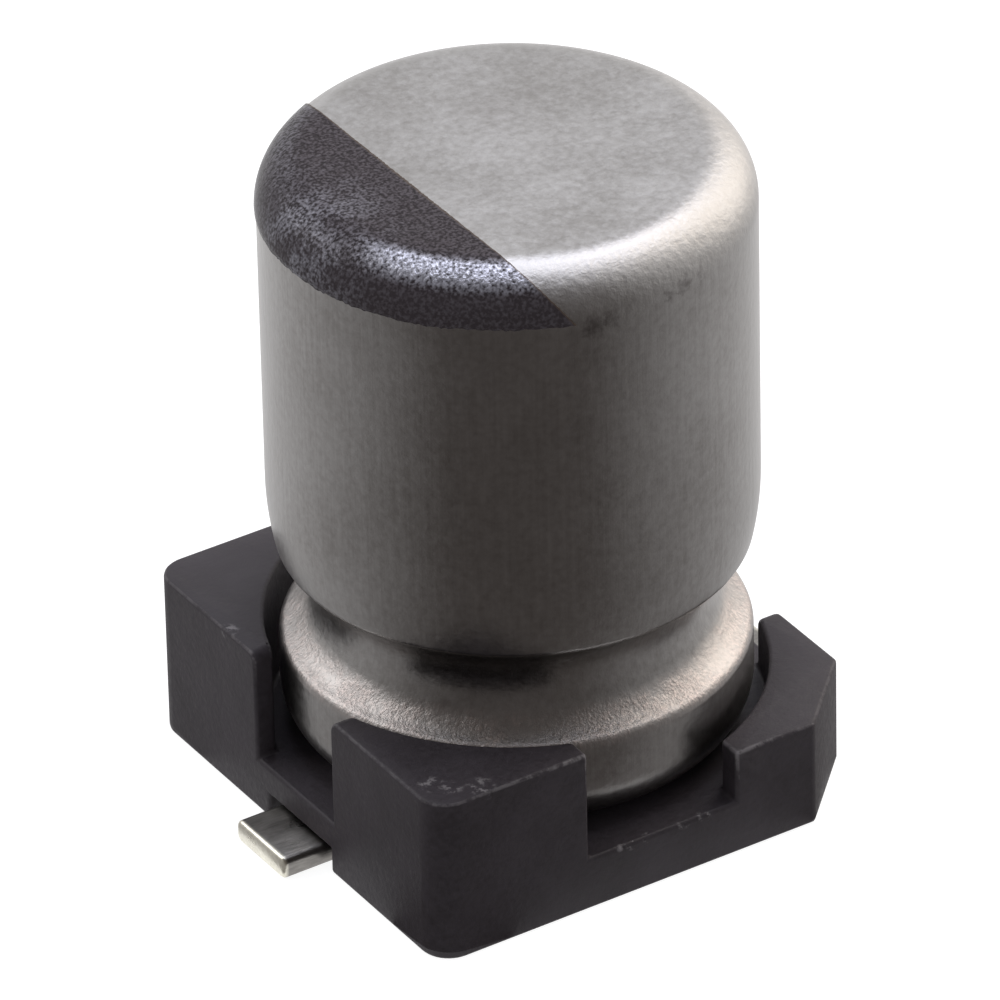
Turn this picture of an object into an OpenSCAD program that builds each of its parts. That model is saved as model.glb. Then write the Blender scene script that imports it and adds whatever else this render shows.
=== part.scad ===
// Surface mount aluminium electrolytic capacitor: a drawn can on a square moulded base.
// Origin: centre of the underside, on the board. The can stands along +Z.
// The inked, negative side faces -X. The positive side, with the two cut corners, faces +X.

/* [Can] */
// Outside diameter of the can
can_d = 4; // [3.9:0.05:4.1]
// Height of the can's top above the board
part_h = 5.8; // [5.6:0.1:7.7]
// Thickness of the drawn aluminium sheet
sheet_t = 0.2; // [0.16:0.01:0.22]
// Outer radius of the rounded edge round the top
rim_r = 0.44; // [0.34:0.02:0.5]
// Height of the shoulder above the board, where the rolled groove starts
shoulder_z = 2.25; // [2.15:0.05:2.35]
// How far the wall has drawn in when it reaches the shoulder
shoulder_in = 0.07; // [0.05:0.01:0.1]
// Height over which the wall draws in, above the shoulder
draw_h = 0.6; // [0.4:0.05:0.8]
// Rounding of the shoulder's outer edge
shoulder_r = 0.1; // [0.06:0.01:0.14]
// Height of the ridge under the groove, above the board
ridge_z = 1.38; // [1.3:0.02:1.46]
// Rounding of the ridge
ridge_r = 0.1; // [0.06:0.01:0.14]
// Depth of the rolled groove, from the band under it
groove_depth = 0.33; // [0.26:0.01:0.36]
// How far the band under the groove lies inside the can's radius
band_in = 0.07; // [0.05:0.01:0.1]
// Outer radius of the curl that closes the can over the rubber
curl_r = 0.46; // [0.4:0.02:0.5]
// Length of flat lip left inside the curl
lip_w = 0.12; // [0.08:0.01:0.16]

/* [Polarity mark] */
// Distance from the axis to the straight edge of the inked field
mark_edge_x = 0.9; // [0.6:0.05:1.2]
// How far the straight edge creeps sideways where the ink comes down the rounded edge
mark_lean = 0.3; // [0:0.05:0.4]
// How far the ink runs down below the rounded edge
mark_drop = 0.01; // [0.01:0.01:0.1]
// Thickness of the printed ink
ink_t = 0.015; // [0.01:0.005:0.02]

/* [Base] */
// Width of the square base
base_w = 4.3; // [4.25:0.01:4.35]
// Thickness of the base under the can, which is also the height of the notch sills
floor_t = 0.49; // [0.45:0.01:0.52]
// Height of the two posts on the negative side
tall_post_h = 1.5; // [1.3:0.05:1.55]
// Height of the two posts on the positive side
low_post_h = 0.97; // [0.85:0.02:1.2]
// Length of the two cut corners along each side
corner_cut = 0.68; // [0.5:0.02:0.8]
// Radius of the two square corners
corner_r = 0.26; // [0.15:0.01:0.3]
// Bevel along the upper and lower edges
edge_bevel = 0.05; // [0.03:0.01:0.09]
// Running space between the posts and the can
post_gap = 0.05; // [0.03:0.01:0.07]
// Width of the notches over the terminals
end_notch_w = 1.14; // [1:0.02:1.3]
// Rounding of the post corners beside those notches
notch_corner_r = 0.1; // [0.05:0.01:0.15]
// Width of the notches in the other two sides
side_notch_w = 1.42; // [1.2:0.02:1.6]

/* [Terminals] */
// Distance between the two leads
lead_pitch = 1.4; // [1.3:0.02:1.44]
// Diameter of the round wire
wire_d = 0.45; // [0.4:0.01:0.5]
// Width of the flattened foot
foot_w = 0.73; // [0.65:0.01:0.75]
// Thickness of the flattened foot
foot_t = 0.2; // [0.16:0.01:0.22]
// Distance over both feet, tip to tip
foot_span = 5.06; // [4.9:0.02:5.3]
// Sideways set of each foot, as bent
foot_shift = 0.06; // [0:0.01:0.08]
// Inner radius of the bend under the base
bend_r = 0.1; // [0.06:0.01:0.12]
// Rounding along the rolled edges of the foot
foot_edge_r = 0.05; // [0.03:0.01:0.07]
// How far the flat stretch stands out of the base's floor before it turns round again
flat_out = 0.02; // [0.01:0.01:0.1]
// Space at each side of the foot in its channel
channel_gap = 0.1; // [0.06:0.01:0.14]
// Space over the foot in its channel
channel_top_gap = 0.03; // [0.02:0.01:0.05]
// Space round the lead where it passes through the base
lead_gap = 0.06; // [0.04:0.01:0.08]

/* [Rubber bung] */
// How far the bung stands up above the shoulder
bung_over = 0.15; // [0.05:0.05:0.25]
// Skin left between the bung and the can
bung_gap = 0.01; // [0.005:0.005:0.02]
// Height of the narrow mouth that the bare wire leaves through
bung_mouth_h = 0.2; // [0.15:0.05:0.3]

/* [Wound element] */
// Radius of the hole that the winding pin leaves
core_r = 0.4; // [0.35:0.01:0.44]
// Thickness of the etched anode foil
anode_t = 0.08; // [0.07:0.01:0.1]
// Thickness of the cathode foil
cathode_t = 0.03; // [0.02:0.01:0.05]
// Thickness of each separator paper
paper_t = 0.04; // [0.03:0.01:0.05]
// Thickness of the closing tape
tape_t = 0.04; // [0.03:0.01:0.06]
// Space between one strip and the next
strip_gap = 0.005; // [0.003:0.001:0.01]
// Least space between the wound element and the can's wall
element_room = 0.1; // [0.05:0.05:0.2]
// Space between the element and the can's closed end
head_space = 0.3; // [0.2:0.05:0.5]
// How far the paper stands past the foils at each end
paper_over = 0.22; // [0.15:0.01:0.3]
// Space between the bung and the element
element_gap = 0.2; // [0.15:0.05:0.3]

/* [Lead tabs] */
// Diameter of the aluminium boss that seals in the rubber
boss_d = 0.7; // [0.6:0.02:0.74]
// How far the boss stands out of the bung
boss_out = 0.1; // [0.05:0.01:0.12]
// Thickness of the flattened blade
blade_t = 0.12; // [0.1:0.01:0.14]
// Width of the blade
blade_w = 0.56; // [0.5:0.02:0.6]
// Space left beside the blade, between its foil and the next strip
blade_gap = 0.02; // [0.015:0.005:0.03]
// How far the blade stops short of the foil's upper edge
blade_short = 0.5; // [0.3:0.1:0.8]

/* [Hidden] */
$fn = 96;
eps = 0.01;

// Radii and centres of the can's section, each a pair of radius and height
can_r = can_d / 2;
band_r = can_r - band_in;
draw_r = (draw_h * draw_h + shoulder_in * shoulder_in) / (2 * shoulder_in);
draw_c = [can_r - draw_r, shoulder_z + draw_h];
groove_half = (shoulder_z - ridge_z) / 2;
groove_r = (groove_half * groove_half + groove_depth * groove_depth) / (2 * groove_depth);
groove_c = [band_r - groove_depth + groove_r, ridge_z + groove_half];
rim_c = [can_r - rim_r, part_h - rim_r];
curl_c = [band_r - curl_r, floor_t + curl_r];

// Base, seen from above
base_half = base_w / 2;
recess_r = can_r + post_gap;

// Leads and their channels
foot_tip_x = foot_span / 2;
lead_x = lead_pitch / 2;
bend_x = lead_x + foot_t / 2 + bend_r;
bend_z = foot_t + bend_r;
channel_h = foot_t + channel_top_gap;
channel_w = foot_w + 2 * channel_gap;
flat_top_z = floor_t + flat_out;
bung_z = floor_t + sheet_t + bung_gap;
bung_top_z = shoulder_z + bung_over;
boss_z = bung_z + bung_mouth_h;

// Wound element: each strip's place within one turn, from the inside out
pitch = 2 * paper_t + anode_t + cathode_t + 4 * strip_gap;
inner_paper_at = 0;
anode_at = paper_t + strip_gap;
outer_paper_at = anode_at + anode_t + strip_gap;
cathode_at = outer_paper_at + paper_t + strip_gap;
blade_room = blade_t + blade_gap;
tape_out = core_r + anode_at + blade_room + tape_t;
// Whole turns of the foils that fit, less the last one, which the paper and the tape take
turns = floor((can_r - sheet_t - element_room - tape_out) / pitch) - 1;
element_z = bung_top_z + element_gap;
paper_w = part_h - sheet_t - head_space - element_z;
foil_z = element_z + paper_over;
foil_w = paper_w - 2 * paper_over;
// Crossings of the X axis behind which the blades lie: even ones are on +X, odd ones on -X
anode_cross = 2;
cathode_cross = 1;

// Points of an arc about c, from angle a0 to a1
function arc(c, r, a0, a1, n = 12) =
  r < 0.001 ? [c] : [for (i = [0:n]) let(a = a0 + (a1 - a0) * i / n) c + r * [cos(a), sin(a)]];

// Where two circles cross, on the left of the line from a to b
function meet(a, ra, b, rb) =
  let(d = norm(b - a), u = (b - a) / d, along = (d * d + ra * ra - rb * rb) / (2 * d))
  a + along * u + sqrt(ra * ra - along * along) * [-u[1], u[0]];

function heading(v) = atan2(v[1], v[0]);
function backwards(list) = [for (i = [len(list) - 1:-1:0]) list[i]];

// Outline of the rounded top, from the axis to the wall, moved inwards by "in"
function top_line(in) = concat([[0, part_h - in]], arc(rim_c, rim_r - in, 90, 0));

// Outline of the whole can, from the axis at the top to the foot of the curl, moved inwards by "in"
function can_line(in) =
  let(sr = max(shoulder_r - in, 0),
      rr = max(ridge_r - in, 0),
      gr = groove_r + in,
      sc = meet(draw_c, draw_r - in - sr, groove_c, gr + sr),
      rx = band_r - in - rr,
      rc = [rx, groove_c[1] - sqrt(pow(gr + rr, 2) - pow(groove_c[0] - rx, 2))],
      draw_end = heading(sc - draw_c),
      groove_in = heading(groove_c - sc),
      groove_out = heading(groove_c - rc))
  concat(top_line(in),
    arc(draw_c, draw_r - in, 0, draw_end, 8),
    arc(sc, sr, draw_end, groove_in, 6),
    arc(groove_c, gr, groove_in + 180, groove_out + 180, 20),
    arc(rc, rr, groove_out, 0, 6),
    arc(curl_c, curl_r - in, 0, -90));

// Drawn can: rounded top, rolled groove, ridge and a curl that grips the rubber
module can() {
  lip_c = [curl_c[0] - lip_w, floor_t + sheet_t / 2];
  color("silver")
  rotate_extrude()
  polygon(concat(can_line(0), arc(lip_c, sheet_t / 2, -90, -270, 8), backwards(can_line(sheet_t))));
}

// Inked field: a skin over the top and its rounded edge.
// It ends along a straight chord, which leans towards +X as it comes down the rounded edge.
module polarity_mark() {
  wall_z = rim_c[1] - mark_drop;
  foot_x = mark_lean - mark_edge_x;
  edge = [[foot_x, 0], [foot_x, rim_c[1]], [-mark_edge_x, part_h], [-mark_edge_x, 2 * part_h]];
  color("dimgray")
  intersection() {
    rotate_extrude()
    polygon(concat(top_line(-ink_t), [[can_r + ink_t, wall_z], [can_r, wall_z]], backwards(top_line(0))));
    rotate([90, 0, 0]) linear_extrude(2 * can_d, center = true)
      polygon(concat(edge, [[-can_d, 2 * part_h], [-can_d, 0]]));
  }
}

// Plan of the base moved inwards by "in": round corners on -X, cut corners on +X
function base_plan(in) =
  let(h = base_half - in, k = base_half - corner_r, cut = corner_cut - in * (2 - sqrt(2)))
  concat(arc([-k, -k], corner_r - in, -180, -90, 6),
    [[h - cut, -h], [h, -h + cut], [h, h - cut], [h - cut, h]],
    arc([-k, k], corner_r - in, 90, 180, 6));

// Solid block of the base's plan with bevelled edges
module base_block(h) {
  hull() {
    linear_extrude(h) polygon(base_plan(edge_bevel));
    translate([0, 0, edge_bevel]) linear_extrude(h - 2 * edge_bevel) polygon(base_plan(0));
  }
}

// Half of the base: the side is -1 for the tall posts and 1 for the low ones
module base_half_block(side, h) {
  intersection() {
    base_block(h);
    translate([side * base_w / 2, 0, 0]) cube([base_w, 2 * base_w, 4 * h], center = true);
  }
}

// Outline of an end notch across Y and Z, with round corners at the top of posts of height h
function notch_line(h) =
  let(y = end_notch_w / 2, r = notch_corner_r)
  concat([[-y, floor_t], [y, floor_t]],
    arc([y + r, h - r], r, 180, 90, 6),
    [[y + r, part_h], [-y - r, part_h]],
    arc([-y - r, h - r], r, 90, 0, 6));

// Cut for an end notch from the axis out past the base: the side is -1 or 1 as above
module end_notch(side, h) {
  translate([side * base_w / 2, 0, 0])
  rotate([90, 0, 90]) linear_extrude(base_w, center = true) polygon(notch_line(h));
}

// Upright slot that the flattened lead passes through
module lead_slot() {
  w = foot_w + 2 * lead_gap;
  t = foot_t + 2 * lead_gap;
  linear_extrude(2 * floor_t) {
    square([t, w - t], center = true);
    for (s = [-1, 1]) translate([0, s * (w - t) / 2]) circle(d = t);
  }
}

// Moulded seat: floor, four posts that hug the can, two lead slots and their channels underneath
module base_plate() {
  color([0.2, 0.19, 0.2])
  difference() {
    union() {
      base_half_block(-1, tall_post_h);
      base_half_block(1, low_post_h);
    }
    end_notch(-1, tall_post_h);
    end_notch(1, low_post_h);
    translate([0, 0, floor_t]) {
      cylinder(r = recess_r, h = part_h);
      translate([-side_notch_w / 2, -base_w, 0]) cube([side_notch_w, 2 * base_w, part_h]);
    }
    for (side = [0, 180]) rotate(side) {
      translate([lead_x - foot_t, foot_shift - channel_w / 2, -eps]) cube([base_w, channel_w, channel_h + eps]);
      translate([lead_x, foot_shift, 0]) lead_slot();
    }
  }
}

// Section of the flattened lead: flat faces with rolled edges
module foot_section() {
  side = foot_w / 2 - foot_edge_r;
  face = foot_t / 2 - foot_edge_r;
  square([foot_t, 2 * side], center = true);
  square([2 * face, foot_w], center = true);
  for (x = [-face, face], y = [-side, side]) translate([x, y]) circle(r = foot_edge_r);
}

// Tinned lead: round wire, flattened stretch, bend under the base and foot on the board
module terminal() {
  translate([0, foot_shift, 0]) {
    translate([foot_tip_x, 0, foot_t / 2]) rotate([0, -90, 0]) linear_extrude(foot_tip_x - bend_x) foot_section();
    translate([bend_x, 0, bend_z]) rotate([90, 0, 0]) rotate(180)
      rotate_extrude(angle = 90) translate([bend_r + foot_t / 2, 0]) foot_section();
    translate([lead_x, 0, bend_z]) linear_extrude(flat_top_z - bend_z) foot_section();
  }
  hull() {
    translate([lead_x, foot_shift, flat_top_z]) linear_extrude(eps) square([foot_t, foot_w], center = true);
    translate([lead_x, 0, bung_z - eps]) cylinder(d = wire_d, h = eps, $fn = 24);
  }
  translate([lead_x, 0, bung_z]) cylinder(d = wire_d, h = bung_mouth_h);
}

module positive_terminal() {
  color("gainsboro") terminal();
}

module negative_terminal() {
  color("gainsboro") rotate(180) terminal();
}

// Rubber bung: fills the can behind the groove and holds the two bosses
module sealing_bung() {
  inside = can_line(sheet_t + bung_gap);
  color([0.12, 0.12, 0.12])
  difference() {
    rotate_extrude()
    intersection() {
      polygon(concat(inside, [[0, bung_z]]));
      translate([0, bung_z]) square([can_r, bung_top_z - bung_z]);
    }
    for (side = [-1, 1]) translate([side * lead_x, 0, 0]) {
      cylinder(d = wire_d, h = part_h);
      translate([0, 0, boss_z]) cylinder(d = boss_d, h = part_h);
    }
  }
}

// Distance from the axis at which a strip crosses the X axis for the j-th time.
// A strip that lies outside a blade steps out by the room that the blade needs.
function crossing(j, at) =
  let(blade_at = j % 2 == 0 ? anode_at : cathode_at,
      blade_j = j % 2 == 0 ? anode_cross : cathode_cross,
      outside = j > blade_j || (j == blade_j && at > blade_at))
  core_r + j * pitch / 2 + at + (outside ? blade_room : 0);

// Half a turn between two crossings, as a half ring with its centre on the X axis
module half_turn(j, at, t) {
  side = j % 2 == 0 ? 1 : -1;
  a = crossing(j, at);
  b = crossing(j + 1, at);
  translate([side * (a - b) / 2, 0])
  intersection() {
    difference() {
      circle(r = (a + b) / 2 + t);
      circle(r = (a + b) / 2);
    }
    translate([0, side * can_d]) square(2 * can_d, center = true);
  }
}

// One wound strip, from its first crossing to its last
module strip(at, t, first, last, z, w) {
  translate([0, 0, z]) linear_extrude(w)
  for (j = [first:last - 1]) half_turn(j, at, t);
}

module inner_paper() {
  color("tan") strip(inner_paper_at, paper_t, 0, 2 * turns + 2, element_z, paper_w);
}

module anode_foil() {
  color("slategray") strip(anode_at, anode_t, 0, 2 * turns, foil_z, foil_w);
}

module outer_paper() {
  color("wheat") strip(outer_paper_at, paper_t, 0, 2 * turns, element_z, paper_w);
}

module cathode_foil() {
  color("lightsteelblue") strip(cathode_at, cathode_t, 0, 2 * turns, foil_z, foil_w);
}

module closing_tape() {
  color("gold") strip(anode_at, tape_t, 2 * turns, 2 * turns + 2, foil_z, foil_w);
}

// Aluminium tab: a round boss in the rubber and a blade curved to lie on its foil.
// The foil is the one at "at" behind crossing j, with thickness t.
module lead_tab(j, at, t) {
  back_x = crossing(j, at) + t + strip_gap;
  back_r = (crossing(j, at) + crossing(j + 1, at)) / 2 + t;
  boss_top = bung_top_z + boss_out;
  rotate(j % 2 * 180) {
    translate([lead_x, 0, boss_z]) cylinder(d = boss_d, h = boss_top - boss_z);
    translate([0, 0, boss_top - boss_out / 2]) linear_extrude(foil_z + foil_w - blade_short - boss_top + boss_out / 2)
    intersection() {
      translate([back_x - back_r, 0]) difference() {
        circle(r = back_r + blade_t);
        circle(r = back_r);
      }
      translate([0, -blade_w / 2]) square([can_r, blade_w]);
    }
  }
}

module anode_tab() {
  color("lightgray") lead_tab(anode_cross, anode_at, anode_t);
}

module cathode_tab() {
  color("lightgray") lead_tab(cathode_cross, cathode_at, cathode_t);
}

base_plate();
can();
polarity_mark();
sealing_bung();
anode_foil();
cathode_foil();
inner_paper();
outer_paper();
closing_tape();
anode_tab();
cathode_tab();
positive_terminal();
negative_terminal();
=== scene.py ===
# Surface mount electrolytic capacitor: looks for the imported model.
# Sizes in the dictionaries are millimetres; meshes are built in millimetres and turned to metres once.
import bpy
import numpy as np
from mathutils import Matrix, Vector


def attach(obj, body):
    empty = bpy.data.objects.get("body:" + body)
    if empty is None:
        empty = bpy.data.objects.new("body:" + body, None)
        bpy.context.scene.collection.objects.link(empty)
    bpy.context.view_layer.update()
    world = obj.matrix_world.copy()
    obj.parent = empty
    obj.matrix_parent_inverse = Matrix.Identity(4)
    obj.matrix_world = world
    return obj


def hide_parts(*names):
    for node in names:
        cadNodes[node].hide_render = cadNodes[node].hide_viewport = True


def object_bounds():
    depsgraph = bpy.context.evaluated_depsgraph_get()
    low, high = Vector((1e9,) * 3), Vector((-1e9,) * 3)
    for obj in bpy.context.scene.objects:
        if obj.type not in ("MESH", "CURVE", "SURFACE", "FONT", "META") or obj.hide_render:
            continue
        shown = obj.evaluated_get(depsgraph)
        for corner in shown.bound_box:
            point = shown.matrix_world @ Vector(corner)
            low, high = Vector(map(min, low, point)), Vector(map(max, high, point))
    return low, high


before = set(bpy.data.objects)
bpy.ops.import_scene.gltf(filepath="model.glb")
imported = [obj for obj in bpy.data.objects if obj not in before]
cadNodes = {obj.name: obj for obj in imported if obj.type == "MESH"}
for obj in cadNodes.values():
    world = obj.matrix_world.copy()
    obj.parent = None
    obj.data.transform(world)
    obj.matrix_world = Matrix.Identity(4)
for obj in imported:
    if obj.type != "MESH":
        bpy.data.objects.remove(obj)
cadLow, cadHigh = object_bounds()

mm = 0.001
seed = 9358


# Helpers for colour and nodes

def linearColour(hexText):
    # each channel c becomes ((c + 0.055) / 1.055) ** 2.4, or c / 12.92 near black
    parts = [int(hexText[i:i + 2], 16) / 255 for i in (1, 3, 5)]
    return [c / 12.92 if c <= 0.04045 else ((c + 0.055) / 1.055) ** 2.4 for c in parts] + [1]


def addNode(tree, kind, inputs=(), output=0, **settings):
    # inputs: values in the order of the sockets, or a dictionary by socket name or number. A value is a
    # number, a hex colour or another node's output, which is linked. The settings are the node's own.
    node = tree.nodes.new("ShaderNode" + kind)
    for name, value in settings.items():
        setattr(node, name, value)
    for key, value in inputs.items() if isinstance(inputs, dict) else enumerate(inputs):
        if isinstance(value, bpy.types.NodeSocket):
            tree.links.new(value, node.inputs[key])
        else:
            node.inputs[key].default_value = linearColour(value) if isinstance(value, str) else value
    return node.outputs[output] if len(node.outputs) else None


def newMaterial(name):
    # an empty material and its node tree
    material = bpy.data.materials.new(name)
    material.use_nodes = True
    material.node_tree.nodes.clear()
    return material, material.node_tree


def objectPattern(tree, stretch=(1, 1, 1)):
    # Object coordinates in millimetres, times the stretch, so that a noise scale is blotches per mm
    place = addNode(tree, "TexCoord", output="Object")
    return addNode(tree, "Mapping", {"Vector": place, "Scale": [s / mm for s in stretch]})


def blotches(tree, place, wide, detail, roughness, shift):
    # a noise whose blotches are so many mm wide; the shift makes two patterns differ
    moved = addNode(tree, "VectorMath", [place, (shift, shift * 0.7, shift * 1.3)], operation="ADD")
    return addNode(tree, "TexNoise",
                   {"Vector": moved, "Scale": 1 / wide, "Detail": detail, "Roughness": roughness})


def weightedSum(tree, *parts):
    # each part is a pattern and its weight: pattern times weight, added up
    total = None
    for part, weight in parts:
        if weight != 1:
            part = addNode(tree, "Math", [part, weight], operation="MULTIPLY")
        total = part if total is None else addNode(tree, "Math", [total, part], operation="ADD")
    return total


def finishMaterial(tree, inputs):
    # the shader with these inputs, joined to the material's output
    shader = addNode(tree, "BsdfPrincipled", inputs)
    addNode(tree, "OutputMaterial", [shader])


# Helpers for meshes

def arcPoints(centre, radius, startDeg, endDeg, count):
    # centre plus radius times (cosine, sine) of equal steps of angle
    angle = np.radians(np.linspace(startDeg, endDeg, count))
    return np.stack([centre[0] + radius * np.cos(angle), centre[1] + radius * np.sin(angle)], axis=1)


def meshFromGrid(name, grid, closed=True, startCap=None, endCap=None):
    # grid[row, column] is a point in mm; each cell becomes a quad, columns join round when closed.
    # A cap is "pole" (a fan to the row's middle point) or "flat" (one many-sided face).
    rows, columns = grid.shape[:2]
    index = np.arange(rows * columns).reshape(rows, columns)
    here = index if closed else index[:, :-1]
    beside = np.roll(index, -1, axis=1) if closed else index[:, 1:]
    faces = np.stack([here[:-1], beside[:-1], beside[1:], here[1:]], axis=-1).reshape(-1, 4).tolist()
    points = grid.reshape(-1, 3)
    for cap, row in ((startCap, 0), (endCap, rows - 1)):
        turned = row == 0
        ring, ahead = index[row], np.roll(index[row], -1)
        if cap == "flat":
            faces.append((ring[::-1] if turned else ring).tolist())
        if cap == "pole":
            pole = np.full(columns, len(points))
            points = np.vstack([points, grid[row].mean(axis=0)])
            fan = [pole, ahead, ring] if turned else [pole, ring, ahead]
            faces += np.stack(fan, axis=1).tolist()
    mesh = bpy.data.meshes.new(name)
    mesh.from_pydata((points * mm).tolist(), [], faces)
    mesh.update()
    piece = bpy.data.objects.new(name, mesh)
    bpy.context.scene.collection.objects.link(piece)
    return piece


def storeShare(mesh, name, values):
    # one number for each vertex, which the materials read by name
    share = mesh.attributes.new(name, "FLOAT", "POINT")
    share.data.foreach_set("value", values.ravel().astype(np.float32))


def finishPiece(piece, material, nodes, sharpDeg):
    # smooth shading with edges sharper than sharpDeg kept crisp, then the piece goes under the root body, the
    # CAD nodes it replaces are hidden, and its counts are printed
    mesh = piece.data
    if sharpDeg:
        mesh.shade_smooth()
        mesh.set_sharp_from_angle(angle=np.radians(sharpDeg))
    mesh.materials.clear()
    mesh.materials.append(material)
    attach(piece, "root")
    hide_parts(*nodes)
    print(piece.name, len(mesh.vertices), "vertices,", len(mesh.polygons), "faces")


# The drawn can

canSizes = {
    "radius": 2.0,
    "top": 5.8,
    "sheet": 0.2,
    "rimRadius": 0.44,
    "shoulderZ": 2.25,
    "shoulderIn": 0.07,
    "drawHeight": 0.6,
    "shoulderRound": 0.1,
    "ridgeZ": 1.38,
    "ridgeRound": 0.1,
    "grooveDepth": 0.33,
    "bandIn": 0.07,
    "curlRadius": 0.46,
    "lip": 0.12,
    "seatZ": 0.49,
    "poleRadius": 0.02,       # the top's innermost ring, closed by a fan of faces
    "outerStep": 0.012,       # least spacing of the outline's points
    "innerStep": 0.05,        # and of the inner wall's, which nothing shows
    "stepsRound": 288,
    "steps": {"flat": 14, "rim": 24, "wall": 24, "draw": 16, "shoulder": 14, "groove": 48, "ridge": 14,
              "curl": 24, "lip": 14},
    "sharpDeg": 35,
}


def meetCircles(a, radiusA, b, radiusB):
    # the crossing of two circles that lies on the left of the line from a to b
    line = b - a
    far = np.hypot(*line)
    unit = line / far
    along = (far ** 2 + radiusA ** 2 - radiusB ** 2) / (2 * far)
    return a + along * unit + np.sqrt(radiusA ** 2 - along ** 2) * np.array([-unit[1], unit[0]])


def headingDeg(vector):
    # the angle from the radius axis, turning up towards z
    return np.degrees(np.arctan2(vector[1], vector[0]))


def topLine(inset):
    # flat top from the axis, then the rounded rim, moved inwards by the inset
    sizes = canSizes
    centre = np.array([sizes["radius"] - sizes["rimRadius"], sizes["top"] - sizes["rimRadius"]])
    flat = np.linspace(sizes["poleRadius"], centre[0], sizes["steps"]["flat"])[:-1]
    line = np.stack([flat, np.full(len(flat), sizes["top"] - inset)], axis=1)
    return np.vstack([line, arcPoints(centre, sizes["rimRadius"] - inset, 90, 0, sizes["steps"]["rim"])])


def canLine(inset):
    # the can's whole outline: top, drawn-in wall, shoulder, rolled groove, ridge and curl, all tangent arcs
    sizes, steps = canSizes, canSizes["steps"]
    shoulderRound = max(sizes["shoulderRound"] - inset, 0)
    ridgeRound = max(sizes["ridgeRound"] - inset, 0)
    drawRadius = (sizes["drawHeight"] ** 2 + sizes["shoulderIn"] ** 2) / (2 * sizes["shoulderIn"])
    drawCentre = np.array([sizes["radius"] - drawRadius, sizes["shoulderZ"] + sizes["drawHeight"]])
    bandRadius = sizes["radius"] - sizes["bandIn"]
    half = (sizes["shoulderZ"] - sizes["ridgeZ"]) / 2
    depth = sizes["grooveDepth"]
    grooveRadius = (half ** 2 + depth ** 2) / (2 * depth)
    grooveCentre = np.array([bandRadius - depth + grooveRadius, sizes["ridgeZ"] + half])
    grooveRadius += inset
    shoulder = meetCircles(drawCentre, drawRadius - inset - shoulderRound,
                           grooveCentre, grooveRadius + shoulderRound)
    ridgeX = bandRadius - inset - ridgeRound
    below = np.sqrt((grooveRadius + ridgeRound) ** 2 - (grooveCentre[0] - ridgeX) ** 2)
    ridge = np.array([ridgeX, grooveCentre[1] - below])
    curl = np.array([bandRadius - sizes["curlRadius"], sizes["seatZ"] + sizes["curlRadius"]])
    drawEnd = headingDeg(shoulder - drawCentre)
    grooveIn = headingDeg(grooveCentre - shoulder)
    grooveOut = headingDeg(grooveCentre - ridge)
    wallTop = sizes["top"] - sizes["rimRadius"]
    wallZ = np.linspace(wallTop, drawCentre[1], steps["wall"])[1:-1]
    return np.vstack([
        topLine(inset),
        np.stack([np.full(len(wallZ), sizes["radius"] - inset), wallZ], axis=1),
        arcPoints(drawCentre, drawRadius - inset, 0, drawEnd, steps["draw"]),
        arcPoints(shoulder, shoulderRound, drawEnd, grooveIn, steps["shoulder"])[1:],
        arcPoints(grooveCentre, grooveRadius, grooveIn + 180, grooveOut + 180, steps["groove"])[1:],
        arcPoints(ridge, ridgeRound, grooveOut, 0, steps["ridge"])[1:],
        arcPoints(curl, sizes["curlRadius"] - inset, 0, -90, steps["curl"]),
    ])


def revolve(profile, steps):
    # point (r, z) at angle a goes to (r cos a, r sin a, z)
    angle = np.linspace(0, 2 * np.pi, steps, endpoint=False)
    grid = np.empty((len(profile), steps, 3))
    grid[..., 0] = profile[:, :1] * np.cos(angle)
    grid[..., 1] = profile[:, :1] * np.sin(angle)
    grid[..., 2] = profile[:, 1:]
    return grid


def thinOut(profile, least):
    # keeps the first point and each later one whose distance along the line passes another step of "least"
    run = np.concatenate([[0], np.cumsum(np.hypot(*np.diff(profile, axis=0).T))])
    keep = np.concatenate([[True], np.diff(np.floor(run / least)) > 0])
    keep[-1] = True
    return profile[keep]


def makeCan():
    # the outline, a half round lip and the inner outline back up, as one closed wall turned round the axis
    sizes = canSizes
    outer = thinOut(canLine(0), sizes["outerStep"])
    inner = thinOut(canLine(sizes["sheet"]), sizes["innerStep"])[::-1]
    lipX = sizes["radius"] - sizes["bandIn"] - sizes["curlRadius"] - sizes["lip"]
    lipRadius = sizes["sheet"] / 2
    lip = arcPoints((lipX, sizes["seatZ"] + lipRadius), lipRadius, -90, -270, sizes["steps"]["lip"])
    profile = np.vstack([outer, lip, inner])[::-1]
    return meshFromGrid("canShell", revolve(profile, sizes["stepsRound"]), startCap="pole", endCap="pole")


# The printed polarity mark

inkSizes = {
    "edgeX": 0.9,
    "edgeSlope": 0.68,
    "thick": 0.015,
    "filmShare": 0.98,        # share of the thickness, so that the film's two sides never meet the can
    "around": 420,
    "across": 40,
    "ragged": 0.014,          # how far the lower edge wanders
    "raggedWaves": (0.13, 0.03),
    "edgeRagged": 0.008,      # and the straight edge
    "edgeWave": 0.02,
    "leastWide": 0.004,
    "sharpDeg": 35,
}


def smoothRandom(x, spacing, rng):
    # random heights at equal spacing, joined by a cosine blend
    knots = rng.random(int(np.ceil((x.max() - x.min()) / spacing)) + 3)
    place = (x - x.min()) / spacing
    left = np.floor(place).astype(int)
    part = (1 - np.cos(np.pi * (place - left))) / 2
    return knots[left] * (1 - part) + knots[left + 1] * part


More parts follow.
